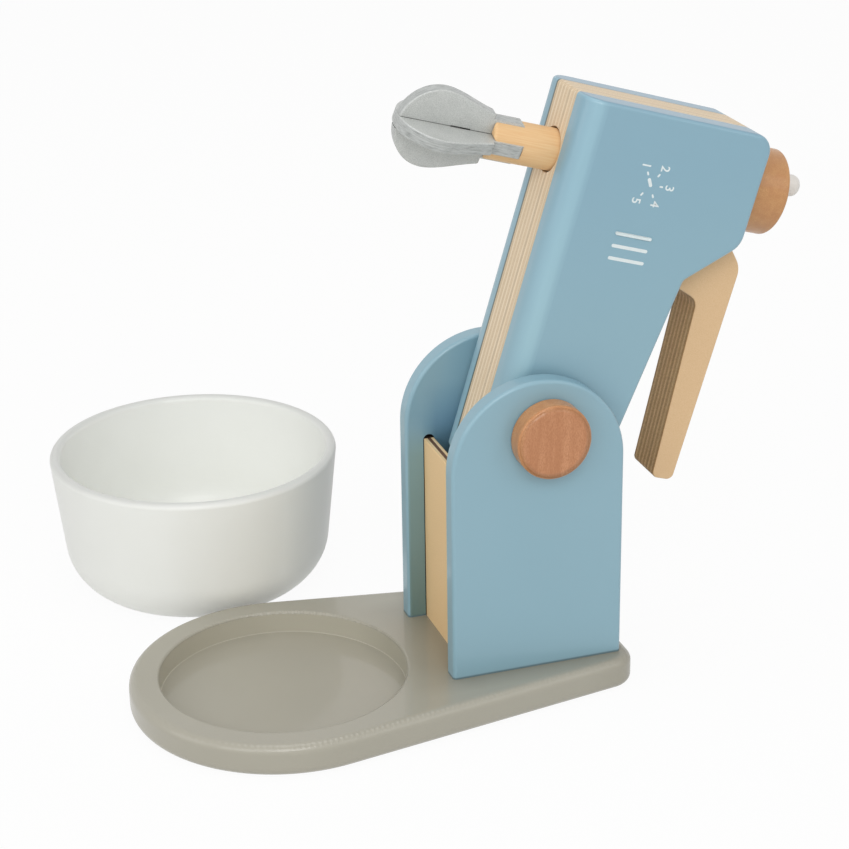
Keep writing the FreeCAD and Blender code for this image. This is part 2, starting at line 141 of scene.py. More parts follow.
# Blue boards: two coats of satin lacquer sprayed over sanded MDF. The eye reads one even colour, broad
# soft highlights that follow the rounded edges, and a very fine orange peel where light grazes it.
blueLacquer = {
    "colour": "#8BAEBC",
    "cloud": "#86AAB8",
    "cloudMm": 55,  # slow drift of the sprayed film
    "peelMm": 1.4,
    "peelDepthMm": 0.006,
    "roughness": 0.42,
    "coat": 0.35,  # the clear top coat, which draws the thin lines of light along the edges
    "coatRoughness": 0.10,
    "headColour": "#83A8B9",  # the film is a little deeper towards the head
    "headRiseMm": (145, 205),
    "roundHighlight": (1.18, 1.15, 1.11),  # painted highlight on a cheek's big rounding, which comes out paler
    "roundBegins": (0.03, 0.3),  # by how far the surface turns to the arm's lower edge
    "roundEnds": (0.55, 0.95),
    "roundLeft": 0.15,  # the share of it on the flat lower edge
    "topShade": (0.72, 0.77, 0.83),  # painted shade on the end face at the head, which faces up
    "topBegins": (0.75, 0.95),
    # painted shade along the seam between the left cheek and the core
    "seamShade": "#4F5C56",
    "seamMm": (0.8, 1.36),  # from the core, where it begins to fade and is gone
    "insideMm": 23.8,  # a post's inner face
    # painted shade on the posts' inner faces by height in mm, with greenish bounced light painted in
    "insideShades": ((13, "#C5C5B4"), (45, "#DADBD0"), (84, "#E8EAE2"), (97, "#F4F9FE"), (115, "#FFFFFF")),
    "deepShade": "#C2D2E2",  # painted shade behind the front panel, darker and bluer with painted light bounced between the blue boards
    "deepMm": (66, 72),
    "deepRiseMm": (89, 115),
    # painted contact shade at the foot of each post
    "footShade": "#5F777F",
    "footRiseMm": (13.5, 14.0),  # just over the base, whose top is at 13
    "grooveShade": "#1E1814",  # painted shade, near black, inside the routed grooves
    "grooveDepthMm": (25.3, 1.55),  # its middle, counted from between the posts, and half its depth
    "grooveHalfMm": 2.5,  # half its width
}


def lacquerNodes(tree, shader, look):  # colour drift and orange peel, with the coordinates they lie in
    coords = addNode(tree, "TexCoord")
    place = coords.outputs["Object"]
    drift = addNode(tree, "TexNoise", {"Vector": place, "Scale": 1000 / look["cloudMm"], "Detail": 2.0})
    colour = addNode(tree, "Mix", {0: drift, 6: look["colour"], 7: look["cloud"]}, data_type="RGBA")
    peel = addNode(tree, "TexNoise", {"Vector": place, "Scale": 1000 / look["peelMm"], "Detail": 1.0})
    bump = addNode(tree, "Bump", {"Distance": look["peelDepthMm"] * mm, "Height": peel})
    feed(tree, shader, {"Normal": bump})
    return coords, addNode(tree, "SeparateXYZ", {0: place}), colour, bump


def makeBlueCheek():
    look = blueLacquer
    material, tree, shader = startMaterial("satin blue lacquer on fibreboard, cheeks", look)
    coords, split, colour, _ = lacquerNodes(tree, shader, look)
    normal = coords.outputs["Normal"]
    lowerward = addNode(tree, "VectorMath", {0: normal, 1: -armAcross}, operation="DOT_PRODUCT")
    # painted highlight on the cheek's big rounding along the lower edge
    begins = addNode(tree, "MapRange", {"Value": lowerward, **between(look["roundBegins"])})
    ends = addNode(tree, "MapRange", {
        "Value": lowerward, **between(look["roundEnds"]), "To Min": 1.0, "To Max": look["roundLeft"]})
    onRound = addNode(tree, "Math", {0: begins, 1: ends}, operation="MULTIPLY")
    # painted shade on the end face at the head
    headward = addNode(tree, "VectorMath", {0: normal, 1: armAlong}, operation="DOT_PRODUCT")
    onTop = addNode(tree, "MapRange", {"Value": headward, **between(look["topBegins"])})
    roundHighlight = addNode(tree, "Mix", {0: onRound, 4: noTint, 5: look["roundHighlight"]}, data_type="VECTOR")
    tint = addNode(tree, "Mix", {0: onTop, 4: roundHighlight, 5: look["topShade"]}, data_type="VECTOR")
    rise = addNode(tree, "MapRange", {"Value": split.outputs["Z"], **between(look["headRiseMm"], mm)})
    headed = addNode(tree, "Mix", {0: rise, 6: colour, 7: look["headColour"]}, data_type="RGBA")
    tinted = addNode(tree, "VectorMath", {0: headed, 1: tint}, operation="MULTIPLY")
    # painted shade: a thin dark line along the glued joint between the left cheek and the plywood
    fromCore = addNode(tree, "Math", {0: split.outputs["Y"], 1: toy["coreHalf"]}, operation="SUBTRACT")
    depth = addNode(tree, "MapRange", {"Value": fromCore, **between(look["seamMm"], mm), **falling})
    onLeft = addNode(tree, "Math", {0: split.outputs["Y"], 1: 0.0}, operation="GREATER_THAN")
    seam = addNode(tree, "Math", {0: depth, 1: onLeft}, operation="MULTIPLY")
    mixed = addNode(tree, "Mix", {0: seam, 6: tinted, 7: look["seamShade"]}, data_type="RGBA")
    feed(tree, shader, {"Base Color": mixed})
    return material


def makeBluePost():
    look = blueLacquer
    material, tree, shader = startMaterial("satin blue lacquer on fibreboard, posts", look)
    _, split, colour, _ = lacquerNodes(tree, shader, look)
    # painted shade, near black, inside the routed grooves
    outward = addNode(tree, "Math", {0: split.outputs["Y"]}, operation="ABSOLUTE")
    middle, half = look["grooveDepthMm"]
    inside = addNode(tree, "Math", {0: outward, 1: middle * mm, 2: half * mm}, operation="COMPARE")
    grooves = []
    for middle, top in toy["grooves"].values():
        within = addNode(tree, "Math", {
            0: split.outputs["X"], 1: middle, 2: look["grooveHalfMm"] * mm}, operation="COMPARE")
        below = addNode(tree, "Math", {0: split.outputs["Z"], 1: top}, operation="LESS_THAN")
        grooves.append(addNode(tree, "Math", {0: within, 1: below}, operation="MULTIPLY"))
    either = addNode(tree, "Math", {0: grooves[0], 1: grooves[1]}, operation="MAXIMUM")
    darkened = addNode(tree, "Math", {0: inside, 1: either}, operation="MULTIPLY")
    # painted shade between the posts, darker and greener towards the base with the light bounced off the
    # panel painted in
    onInside = addNode(tree, "Math", {0: outward, 1: look["insideMm"] * mm}, operation="LESS_THAN")
    lowest, highest = look["insideShades"][0][0], look["insideShades"][-1][0]
    rise = addNode(tree, "MapRange", {"Value": split.outputs["Z"], **between((lowest, highest), mm)})
    insideShadeRamp = addNode(tree, "ValToRGB", {0: rise})
    stops = insideShadeRamp.color_ramp.elements
    for i, (height, tint) in enumerate(look["insideShades"]):
        place = (height - lowest) / (highest - lowest)
        stop = stops[0] if i == 0 else stops.new(place) if place < 1 else stops[-1]
        stop.position, stop.color = place, linearFromHex(tint)
    # painted shade on the inner faces
    insideShaded = addNode(tree, "Mix", {
        0: onInside, 6: colour, 7: insideShadeRamp}, data_type="RGBA", blend_type="MULTIPLY")
    # painted shade deeper in, behind the front panel
    behind = addNode(tree, "MapRange", {"Value": split.outputs["X"], **between(look["deepMm"], mm)})
    sunk = addNode(tree, "MapRange", {
        "Value": split.outputs["Z"], **between(look["deepRiseMm"], mm), **falling})
    deep = addNode(tree, "Math", {0: behind, 1: sunk}, operation="MULTIPLY")
    deepInside = addNode(tree, "Math", {0: deep, 1: onInside}, operation="MULTIPLY")
    deepShaded = addNode(tree, "Mix", {
        0: deepInside, 6: insideShaded, 7: look["deepShade"]}, data_type="RGBA", blend_type="MULTIPLY")
    # painted contact shade where the board stands on the base
    foot = addNode(tree, "MapRange", {
        "Value": split.outputs["Z"], **between(look["footRiseMm"], mm), **falling})
    footed = addNode(tree, "Mix", {0: foot, 6: deepShaded, 7: look["footShade"]}, data_type="RGBA")
    # painted shade inside the grooves
    mixed = addNode(tree, "Mix", {0: darkened, 6: footed, 7: look["grooveShade"]}, data_type="RGBA")
    feed(tree, shader, {"Base Color": mixed})
    return material


setFinish(["left_cheek", "right_cheek"], makeBlueCheek())
setFinish(["left_post", "right_post"], makeBluePost())


# Taupe base: the same film in a warm grey. The routed lip and the rounded rim keep the cutter's ripple,
# which catches the light as a row of small dots.
taupeLacquer = {
    "colour": "#A6A294",
    "cloud": "#A19D8F",
    "cloudMm": 40,
    "peelMm": 1.1,
    "peelDepthMm": 0.008,
    "roughness": 0.42,
    "coat": 0.5,
    "coatRoughness": 0.09,
    "lipRadiusMm": 48.9,  # the edge of the bowl recess
    "lipHalfMm": 0.7,
    "lipHeightMm": 12.0,
    "lipRippleMm": 1.3,
    "rimHeightMm": 12.2,  # the rounding all round the board
    "rimHalfMm": 0.6,
    "rimRippleMm": 2.1,
    "rippleDepthMm": 0.04,
    "wallRadiusMm": 48.3,
    "wallHalfMm": 0.3,
    "wallLight": "#B4B0A0",  # painted light: the recess wall comes out paler than the sanded top
    "cornerHeightMm": 4.15,
    "cornerHighlight": "#BFBBAD",  # a painted highlight in a thin line at its foot
    "nookShade": "#DFDEDA",  # painted shade in the nook in front of the panel
    "nookMm": (38, 66),  # it begins beside the recess and is full at the panel
    "nookHalfMm": (32, 42),
}


def makeTaupeBase():
    look = taupeLacquer
    material, tree, shader = startMaterial("satin taupe lacquer on fibreboard", look)
    _, split, colour, peel = lacquerNodes(tree, shader, look)
    flat = addNode(tree, "CombineXYZ", {"X": split.outputs["X"], "Y": split.outputs["Y"]})
    reach = addNode(tree, "VectorMath", {0: flat}, operation="LENGTH")
    atWall = addNode(tree, "Math", {
        0: reach, 1: look["wallRadiusMm"] * mm, 2: look["wallHalfMm"] * mm}, operation="COMPARE")
    # painted light on the recess wall, and a painted highlight at its foot
    for top, wallLight in (
            (look["lipHeightMm"], look["wallLight"]), (look["cornerHeightMm"], look["cornerHighlight"])):
        below = addNode(tree, "Math", {0: split.outputs["Z"], 1: top * mm}, operation="LESS_THAN")
        onWall = addNode(tree, "Math", {0: atWall, 1: below}, operation="MULTIPLY")
        colour = addNode(tree, "Mix", {0: onWall, 6: colour, 7: wallLight}, data_type="RGBA")
    # painted shade in the nook between the posts, in front of the panel
    ahead = addNode(tree, "MapRange", {"Value": split.outputs["X"], **between(look["nookMm"], mm)})
    sideways = addNode(tree, "Math", {0: split.outputs["Y"]}, operation="ABSOLUTE")
    central = addNode(tree, "MapRange", {"Value": sideways, **between(look["nookHalfMm"], mm), **falling})
    nook = addNode(tree, "Math", {0: ahead, 1: central}, operation="MULTIPLY")
    nookShaded = addNode(tree, "Mix", {
        0: nook, 6: colour, 7: look["nookShade"]}, data_type="RGBA", blend_type="MULTIPLY")
    nearLip = addNode(tree, "Math", {
        0: reach, 1: look["lipRadiusMm"] * mm, 2: look["lipHalfMm"] * mm}, operation="COMPARE")
    above = addNode(tree, "Math", {
        0: split.outputs["Z"], 1: look["lipHeightMm"] * mm}, operation="GREATER_THAN")
    onLip = addNode(tree, "Math", {0: nearLip, 1: above}, operation="MULTIPLY")
    onRim = addNode(tree, "Math", {
        0: split.outputs["Z"], 1: look["rimHeightMm"] * mm, 2: look["rimHalfMm"] * mm},
        operation="COMPARE")
    turn = addNode(tree, "Math", {0: split.outputs["Y"], 1: split.outputs["X"]}, operation="ARCTAN2")
    waves = []
    for where, way, ripplesPerUnit in (
            (onLip, turn, look["lipRadiusMm"] / look["lipRippleMm"]),
            (onRim, split.outputs["X"], 1000 / look["rimRippleMm"])):
        phase = addNode(tree, "Math", {0: way, 1: 2 * math.pi * ripplesPerUnit}, operation="MULTIPLY")
        wave = addNode(tree, "Math", {0: phase}, operation="SINE")
        waves.append(addNode(tree, "Math", {0: wave, 1: where}, operation="MULTIPLY"))
    ripple = addNode(tree, "Math", {0: waves[0], 1: waves[1]}, operation="ADD")
    rippled = addNode(tree, "Bump", {
        "Distance": look["rippleDepthMm"] * mm, "Height": ripple, "Normal": peel})
    feed(tree, shader, {"Base Color": nookShaded, "Normal": rippled, "Coat Normal": rippled})
    return material


setFinish(["base_plate"], makeTaupeBase())
print("lacquered boards done")


# Birch plywood: rotary-cut veneers glued crosswise, sanded and given one clear matt coat. A broad face
# is one plain veneer with hardly any figure. On an edge every second ply shows its long fibres, pale and
# smooth, and the ones between show end grain, a little darker, so which ply is dark changes with the
# way that the edge faces.
birchPly = {
    "face": "#DEBD95",
    "faceFleck": "#D7B58A",
    "longPly": "#EFDEC6",
    "longStreak": "#E2CEB0",
    "endPly": "#E0CBAD",
    "endPore": "#D1B996",
    "endTurn": (0.35, 0.75),  # how far the fibres point out where long grain gives way to end grain
    "glue": "#A58868",
    "glueShare": 0.11,
    "glueStrength": 0.45,
    "toneShare": 0.07,  # how much one veneer differs from the next
    "plies": 13,
    "faceSkinMm": 0.12,
    "streakMm": (16, 0.5, 0.5),  # the first one runs with the fibres
    "streakSpan": (0.35, 0.65),  # the values of the noise where one tone goes over into the other
    "poreMm": 0.32,
    "poreSpan": (0.38, 0.62),
    "roughness": 0.56,
    "specular": 0.35,
    "reliefMm": 0.02,
    "scorch": "#F0DFC0",  # inner edge of the handle, browned by the cutter and left unsanded
    "scorchDeep": "#C3AA8D",
    "scorchTurn": (0.15, 0.5),
    "scorchRiseMm": 48,  # above the pivot with the arm level, where the handle begins
    "scorchFleckMm": 0.7,
    "scorchFleckSpan": (0.4, 0.6),
    "scorchFleckShare": 0.6,
    "scorchEndShare": 0.5,
}


# the places are sockets in metres: along the face veneer's grain, the sheet's other way, and through its
# thickness; grains are the first two as directions
def plyNodes(tree, shader, look, coords, places, halfThickness, grains):
    along, across, through = places
    layer = addNode(tree, "Math", {
        0: through, 1: look["plies"] / (2 * halfThickness), 2: look["plies"] / 2},
        operation="MULTIPLY_ADD")
    index = addNode(tree, "Math", {0: layer}, operation="FLOOR")
    odd = addNode(tree, "Math", {0: index, 1: 2.0}, operation="MODULO")
    isCross = addNode(tree, "Math", {0: odd}, operation="ABSOLUTE")
    # how far this ply's fibres point out of the surface: 0 is long grain, 1 is end grain
    fibre = addNode(tree, "Mix", {0: isCross, 4: grains[0], 5: grains[1]}, data_type="VECTOR")
    facing = addNode(tree, "VectorMath", {0: coords.outputs["Normal"], 1: fibre}, operation="DOT_PRODUCT")
    endOn = addNode(tree, "Math", {0: facing}, operation="ABSOLUTE")
    endShare = addNode(tree, "MapRange", {"Value": endOn, **between(look["endTurn"])})
    # streaks that run with each ply's own fibres, and the pores that its ends show
    plyAlong = addNode(tree, "Mix", {0: isCross, 2: along, 3: across}, data_type="FLOAT")
    plyAcross = addNode(tree, "Mix", {0: isCross, 2: across, 3: along}, data_type="FLOAT")
    space = addNode(tree, "CombineXYZ", {"X": plyAlong, "Y": plyAcross, "Z": through})
    streak = stretchedNoise(tree, space, look["streakMm"], detail=3.0, roughness=0.6)
    pores = addNode(tree, "TexNoise", {
        "Vector": space, "Scale": 1000 / look["poreMm"], "Detail": 2.0, "Roughness": 0.6})
    longColour = twoTone(tree, streak, look["streakSpan"], look["longPly"], look["longStreak"])
    endColour = twoTone(tree, pores, look["poreSpan"], look["endPly"], look["endPore"])
    plies = addNode(tree, "Mix", {0: endShare, 6: longColour, 7: endColour}, data_type="RGBA")
    # each veneer comes from another log
    tone = addNode(tree, "TexWhiteNoise", {"W": index}, noise_dimensions="1D")
    toneScale = addNode(tree, "MapRange", {
        "Value": tone, "To Min": 1 - look["toneShare"], "To Max": 1 + look["toneShare"]})
    toned = addNode(tree, "VectorMath", {0: plies, "Scale": toneScale}, operation="SCALE")
    within = addNode(tree, "Math", {0: layer}, operation="FRACT")
    fromMiddle = addNode(tree, "Math", {0: within, 1: 0.5}, operation="SUBTRACT")
    toGlue = addNode(tree, "Math", {0: fromMiddle}, operation="ABSOLUTE")
    glueLine = addNode(tree, "MapRange", {
        "Value": toGlue, **between((0.5 - look["glueShare"], 0.5)), "To Max": look["glueStrength"]})
    glued = addNode(tree, "Mix", {0: glueLine, 6: toned, 7: look["glue"]}, data_type="RGBA")
    faceColour = twoTone(tree, pores, look["poreSpan"], look["face"], look["faceFleck"])
    depth = addNode(tree, "Math", {0: through}, operation="ABSOLUTE")
    onFace = addNode(tree, "Math", {
        0: depth, 1: halfThickness - look["faceSkinMm"] * mm}, operation="GREATER_THAN")
    colour = addNode(tree, "Mix", {0: onFace, 6: glued, 7: faceColour}, data_type="RGBA")
    porous = addNode(tree, "Math", {0: endShare, 1: onFace}, operation="MAXIMUM")
    height = addNode(tree, "Mix", {0: porous, 2: streak, 3: pores}, data_type="FLOAT")
    bump = addNode(tree, "Bump", {"Distance": look["reliefMm"] * mm, "Height": height})
    feed(tree, shader, {"Normal": bump})
    return colour, onFace, endShare


def makeCorePly():
    look = birchPly
    material, tree, shader = startMaterial("birch plywood, arm core", look)
    # in the arm's own directions: X runs up to the handle, Z from the pivot to the head
    coords, local = ownSpace(tree, toy["pivot"], (0.0, toy["parkedAngle"] - quarterTurn, 0.0))
    split = addNode(tree, "SeparateXYZ", {0: local})
    colour, onFace, endShare = plyNodes(
        tree, shader, look, coords, [split.outputs[axis] for axis in "XZY"], toy["coreHalf"],
        (armAcross, armAlong))
    inward = addNode(tree, "VectorMath", {
        0: coords.outputs["Normal"], 1: -armAcross}, operation="DOT_PRODUCT")
    facesArm = addNode(tree, "MapRange", {"Value": inward, **between(look["scorchTurn"])})
    onHandle = addNode(tree, "Math", {
        0: split.outputs["X"], 1: look["scorchRiseMm"] * mm}, operation="GREATER_THAN")
    sawn = addNode(tree, "Math", {0: facesArm, 1: onHandle}, operation="MULTIPLY")
    darkened = addNode(tree, "Math", {0: sawn, 1: onFace}, operation="SUBTRACT", use_clamp=True)
    flecks = addNode(tree, "TexNoise", {
        "Vector": local, "Scale": 1000 / look["scorchFleckMm"], "Detail": 3.0, "Roughness": 0.65})
    fleckStep = addNode(tree, "MapRange", {
        "Value": flecks, **between(look["scorchFleckSpan"]), "To Max": look["scorchFleckShare"]})
    burnt = addNode(tree, "Math", {
        0: endShare, 1: look["scorchEndShare"], 2: fleckStep}, operation="MULTIPLY_ADD", use_clamp=True)
    brown = addNode(tree, "Mix", {0: burnt, 6: look["scorch"], 7: look["scorchDeep"]}, data_type="RGBA")
    scorched = addNode(tree, "Mix", {
        0: darkened, 6: colour, 7: brown}, data_type="RGBA", blend_type="MULTIPLY")
    feed(tree, shader, {"Base Color": scorched})
    return material


setFinish(["arm_core"], makeCorePly())

# thin three-ply sheet, its face a warmer, flatter veneer that has yellowed under the coat
panelPly = dict(
    birchPly,
    face="#F3D1A0",
    faceFleck="#EDCA97",
    longPly="#E8CFA4",
    longStreak="#DEC497",
    endPly="#7A5A44",
    endPore="#543C2E",
    glue="#5B4230",
    glueShare=0.06,
    glueStrength=0.5,
    toneShare=0.03,
    plies=3,
    faceSkinMm=0.2,
    streakMm=(40, 2.2, 2.2),
    poreMm=0.4,
    roughness=0.5,
    reliefMm=0.01,
    grooveShade="#2B2019",  # painted shade on the face where it runs into the posts' grooves
    grooveMm=23.5,
)


def makePanelPly(name, middle):
    look = panelPly
    material, tree, shader = startMaterial("birch three-ply, " + name, look)
    coords, local = ownSpace(tree, (middle, 0.0, 0.0), noTurn)  # X runs through the thickness
    split = addNode(tree, "SeparateXYZ", {0: local})
    # the face veneers lie across; the middle one stands upright and shows its dark end at the top edge
    colour, _, _ = plyNodes(
        tree, shader, look, coords, [split.outputs[axis] for axis in "YZX"], toy["panelHalf"],
        ((0.0, 1.0, 0.0), (0.0, 0.0, 1.0)))
    # painted shade where the face runs into the grooves
    fromMiddle = addNode(tree, "Math", {0: split.outputs["Y"]}, operation="ABSOLUTE")
    inGroove = addNode(tree, "Math", {0: fromMiddle, 1: look["grooveMm"] * mm}, operation="GREATER_THAN")
    edged = addNode(tree, "Mix", {0: inGroove, 6: colour, 7: look["grooveShade"]}, data_type="RGBA")
    feed(tree, shader, {"Base Color": edged})
    return material


for panelName, (panelMiddle, _) in toy["grooves"].items():
    setFinish([panelName], makePanelPly(panelName.replace("_", " "), panelMiddle))
print("plywood done")


# Birch dowel, drawn through a die and lightly sanded under a clear coat: honey coloured, with long
# fine fibres and a faint broad banding of the growth rings.
paleDowel = {
    "colour": "#E6BF8D",
    "streak": "#E1B582",
    "ring": "#EBC899",
    "fibreMm": (0.45, 0.45, 14),  # the last one runs along the dowel
    "fibreSpan": (0.35, 0.7),
    "ringMm": (4.5, 4.5, 36),
    "roughness": 0.5,
    "specular": 0.4,
    "reliefMm": 0.02,
}


def makeDowel(name, place, turn):
    look = paleDowel
    material, tree, shader = startMaterial("birch dowel, " + name, look)
    _, local = ownSpace(tree, place, turn)
    fine = stretchedNoise(tree, local, look["fibreMm"], detail=3.0, roughness=0.55)
    broad = stretchedNoise(tree, local, look["ringMm"], detail=1.0)
    base = addNode(tree, "Mix", {0: broad, 6: look["colour"], 7: look["ring"]}, data_type="RGBA")
    colour = twoTone(tree, fine, look["fibreSpan"], base, look["streak"])
    bump = addNode(tree, "Bump", {"Distance": look["reliefMm"] * mm, "Height": fine})
    feed(tree, shader, {"Base Color": colour, "Normal": bump})
    return material


setFinish(["whisk_shaft"], makeDowel("whisk shaft", toy["whiskOnAxis"], dowelTurn.to_euler()))
setFinish(["pivot_axle", "arm_pins"], makeDowel("cross dowels", toy["pivot"], (quarterTurn, 0.0, 0.0)))


# Steamed beech knobs, turned, sanded and oiled: pinkish brown, with the short dark dashes of the rays
# all over the face and a faint long grain beneath them.
beech = {
    "colour": "#C88E65",
    "grain": "#B77C53",
    "grainMm": (3.0, 3.0, 40),  # the last one runs with the fibres
    "grainLean": math.radians(2),  # on the pivot knobs, from upright
    "ray": "#AC7148",
    "rayMm": (0.28, 0.28, 0.8),
    "rayShare": 0.8,
    "span": (0.35, 0.65),
    "roughness": 0.48,
    "specular": 0.4,
    "coat": 0.4,
    "coatRoughness": 0.15,
    "reliefMm": 0.02,
    "radiusMm": 14.75,
    "wallMm": 0.1,  # so far in from the radius still counts as the wall
    "sideTint": (1.10, 1.18, 1.04),  # the turned wall takes the oil golden
    # painted highlight on the turner's rounding, paler and more golden
    "rimHighlight": (1.05, 1.06, 0.90),
    "rimMm": (2.6, 0.6),  # the turner's rounding, which runs well into the face
    "rimPower": 1.5,
    "rimDropMm": 1.3,
}


def makeBeech(name, look, place, grainTurn, latheTurn):  # which bring Z to the grain and the lathe's axis
    material, tree, shader = startMaterial("oiled beech, " + name, look)
    _, local = ownSpace(tree, place, grainTurn)
    rays = stretchedNoise(tree, local, look["rayMm"], detail=2.0)
    grain = stretchedNoise(tree, local, look["grainMm"], detail=2.0)
    base = twoTone(tree, grain, look["span"], look["colour"], look["grain"])
    colour = twoTone(tree, rays, look["span"], base, look["ray"], look["rayShare"])
    _, turned = ownSpace(tree, place, latheTurn)
    flat = addNode(tree, "VectorMath", {0: turned, 1: flatOnly}, operation="MULTIPLY")
    reach = addNode(tree, "VectorMath", {0: flat}, operation="LENGTH")
    rim = addNode(tree, "MapRange", {
        "Value": reach, **between([look["radiusMm"] - inset for inset in look["rimMm"]], mm)})
    onSide = addNode(tree, "Math", {
        0: reach, 1: (look["radiusMm"] - look["wallMm"]) * mm}, operation="GREATER_THAN")
    # painted highlight on the rounding
    edgeHighlight = addNode(tree, "Mix", {0: rim, 4: noTint, 5: look["rimHighlight"]}, data_type="VECTOR")
    tint = addNode(tree, "Mix", {0: onSide, 4: edgeHighlight, 5: look["sideTint"]}, data_type="VECTOR")
    oiled = addNode(tree, "VectorMath", {0: colour, 1: tint}, operation="MULTIPLY")
    fall = addNode(tree, "Math", {0: rim, 1: look["rimPower"]}, operation="POWER")
    rounding = addNode(tree, "Math", {0: 1.0, 1: fall}, operation="SUBTRACT")
    edge = addNode(tree, "Bump", {"Distance": look["rimDropMm"] * mm, "Height": rounding})
    bump = addNode(tree, "Bump", {"Distance": look["reliefMm"] * mm, "Height": rays, "Normal": edge})
    feed(tree, shader, {"Base Color": oiled, "Normal": bump, "Coat Normal": edge})
    return material


setFinish(["left_pivot_knob", "right_pivot_knob"], makeBeech(
    "pivot knobs", beech, toy["pivot"], (0.0, beech["grainLean"], 0.0), (quarterTurn, 0.0, 0.0)))
crankBeech = dict(  # cut from a yellower board
    beech, colour="#C69460", grain="#BC8656", ray="#B07B4B", radiusMm=16.7, sideTint=noTint)
setFinish(["crank_knob"], makeBeech(
    "crank knob", crankBeech, toy["whiskOnAxis"], (quarterTurn, 0.0, 0.0), dowelTurn.to_euler()))
print("dowels and knobs done")


# Grey metallic paint over the sanded plywood of the whisk blades: satin, a little grainy from its
# flakes, and on the sawn edges the plies still show through as fine ridges.
silverPaint = {
    "colour": "#CBCDCA",
    "shade": "#AEB1AE",
    "shadeSpan": (0.35, 0.65),
    "mottleMm": 6,
    "flakeMm": 0.35,  # coarser than real flakes, so that they show
    "flakeShare": 0.75,
    "flakeStrength": 0.5,
    "flakeDepthMm": 0.02,
    "plyMm": 1.15,
    "plyWobble": 0.6,
    "ridgeMm": 0.06,
    "ridgeStrength": 0.6,
    "roughness": 0.5,
    "metallic": 0.1,
    "coat": 0.5,
    "coatRoughness": 0.1,
    "sawn": "#B4B7B5",  # the sawn edges drink the paint and keep fine dark scratches
    "sawnTurn": (0.3, 0.8),
    "scratch": "#8C8F8D",
    "scratchAcrossMm": 0.45,
    "scratchAlongMm": 4,
    "scratchSpan": (0.45, 0.65),
    "bladeHalfMm": 2.5,
    "bladeSkinMm": 0.1,
    "gapShade": "#2A2B28",  # painted shade: the dark line in the gap where the two blades are let into each other
    "gapMm": 0.12,
    "openMm": 0.4,  # wider halfway, where neither slot is sawn quite to its end
    "openPlaceMm": (-55.3, 4.0),  # the middle of that stretch, along the dowel, and half its length
}


def makeSilverPaint(name, thickAxis):  # the axis of the whisk that runs through the blade's thickness
    look = silverPaint
    material, tree, shader = startMaterial("silver paint on plywood, " + name, look)
    coords, local = ownSpace(tree, toy["whiskOnAxis"], whiskTurn.to_euler())
    mottle = addNode(tree, "TexNoise", {"Vector": local, "Scale": 1000 / look["mottleMm"], "Detail": 3.0})
    flakes = addNode(tree, "TexNoise", {"Vector": local, "Scale": 1000 / look["flakeMm"], "Detail": 1.0})
    blend = addNode(tree, "Mix", {0: look["flakeShare"], 2: mottle, 3: flakes}, data_type="FLOAT")
    colour = twoTone(tree, blend, look["shadeSpan"], look["colour"], look["shade"])
    through = Vector([1.0 if axis == thickAxis else 0.0 for axis in "XYZ"])
    facing = addNode(tree, "VectorMath", {
        0: coords.outputs["Normal"], 1: whiskTurn.to_3x3() @ through}, operation="DOT_PRODUCT")
    turned = addNode(tree, "Math", {0: facing}, operation="ABSOLUTE")
    onEdge = addNode(tree, "MapRange", {"Value": turned, **between(look["sawnTurn"]), **falling})
    scratchMm = [look["scratchAcrossMm"] if part else look["scratchAlongMm"] for part in through]
    scratches = stretchedNoise(tree, local, scratchMm, detail=4.0, roughness=0.75)
    sawnColour = twoTone(tree, scratches, look["scratchSpan"], look["sawn"], look["scratch"])
    painted = addNode(tree, "Mix", {0: onEdge, 6: colour, 7: sawnColour}, data_type="RGBA")
    # painted shade in the gap, which runs along the corners between the two blades
    split = addNode(tree, "SeparateXYZ", {0: local})
    x, y = [addNode(tree, "Math", {0: split.outputs[axis]}, operation="ABSOLUTE") for axis in "XY"]
    farther = addNode(tree, "Math", {0: x, 1: y}, operation="MAXIMUM")
    nearer = addNode(tree, "Math", {0: x, 1: y}, operation="MINIMUM")
    middle, half = look["openPlaceMm"]
    halfway = addNode(tree, "Math", {
        0: split.outputs["Z"], 1: middle * mm, 2: half * mm}, operation="COMPARE")
    gapEdge = addNode(tree, "MapRange", {
        "Value": halfway, "To Min": (look["bladeHalfMm"] + look["gapMm"]) * mm,
        "To Max": (look["bladeHalfMm"] + look["openMm"]) * mm})
    within = addNode(tree, "Math", {0: farther, 1: gapEdge}, operation="LESS_THAN")
    outside = addNode(tree, "Math", {
        0: nearer, 1: (look["bladeHalfMm"] - look["bladeSkinMm"]) * mm}, operation="GREATER_THAN")
    inGap = addNode(tree, "Math", {0: within, 1: outside}, operation="MULTIPLY")
    gapped = addNode(tree, "Mix", {0: inGap, 6: painted, 7: look["gapShade"]}, data_type="RGBA")
    wobble = addNode(tree, "Math", {0: mottle, 1: look["plyWobble"]}, operation="MULTIPLY")
    layers = addNode(tree, "Math", {
        0: split.outputs[thickAxis], 1: 1000 / look["plyMm"], 2: wobble}, operation="MULTIPLY_ADD")
    phase = addNode(tree, "Math", {0: layers, 1: 2 * math.pi}, operation="MULTIPLY")
    ridges = addNode(tree, "Math", {0: phase}, operation="SINE")
    ridgeBump = addNode(tree, "Bump", {
        "Strength": look["ridgeStrength"], "Distance": look["ridgeMm"] * mm, "Height": ridges})
    flakeBump = addNode(tree, "Bump", {
        "Strength": look["flakeStrength"], "Distance": look["flakeDepthMm"] * mm, "Height": flakes,
        "Normal": ridgeBump})
    feed(tree, shader, {"Base Color": gapped, "Normal": flakeBump})
    return material


setFinish(["whisk_blade"], makeSilverPaint("whisk blade", "Y"))
setFinish(["cross_blade"], makeSilverPaint("cross blade", "X"))


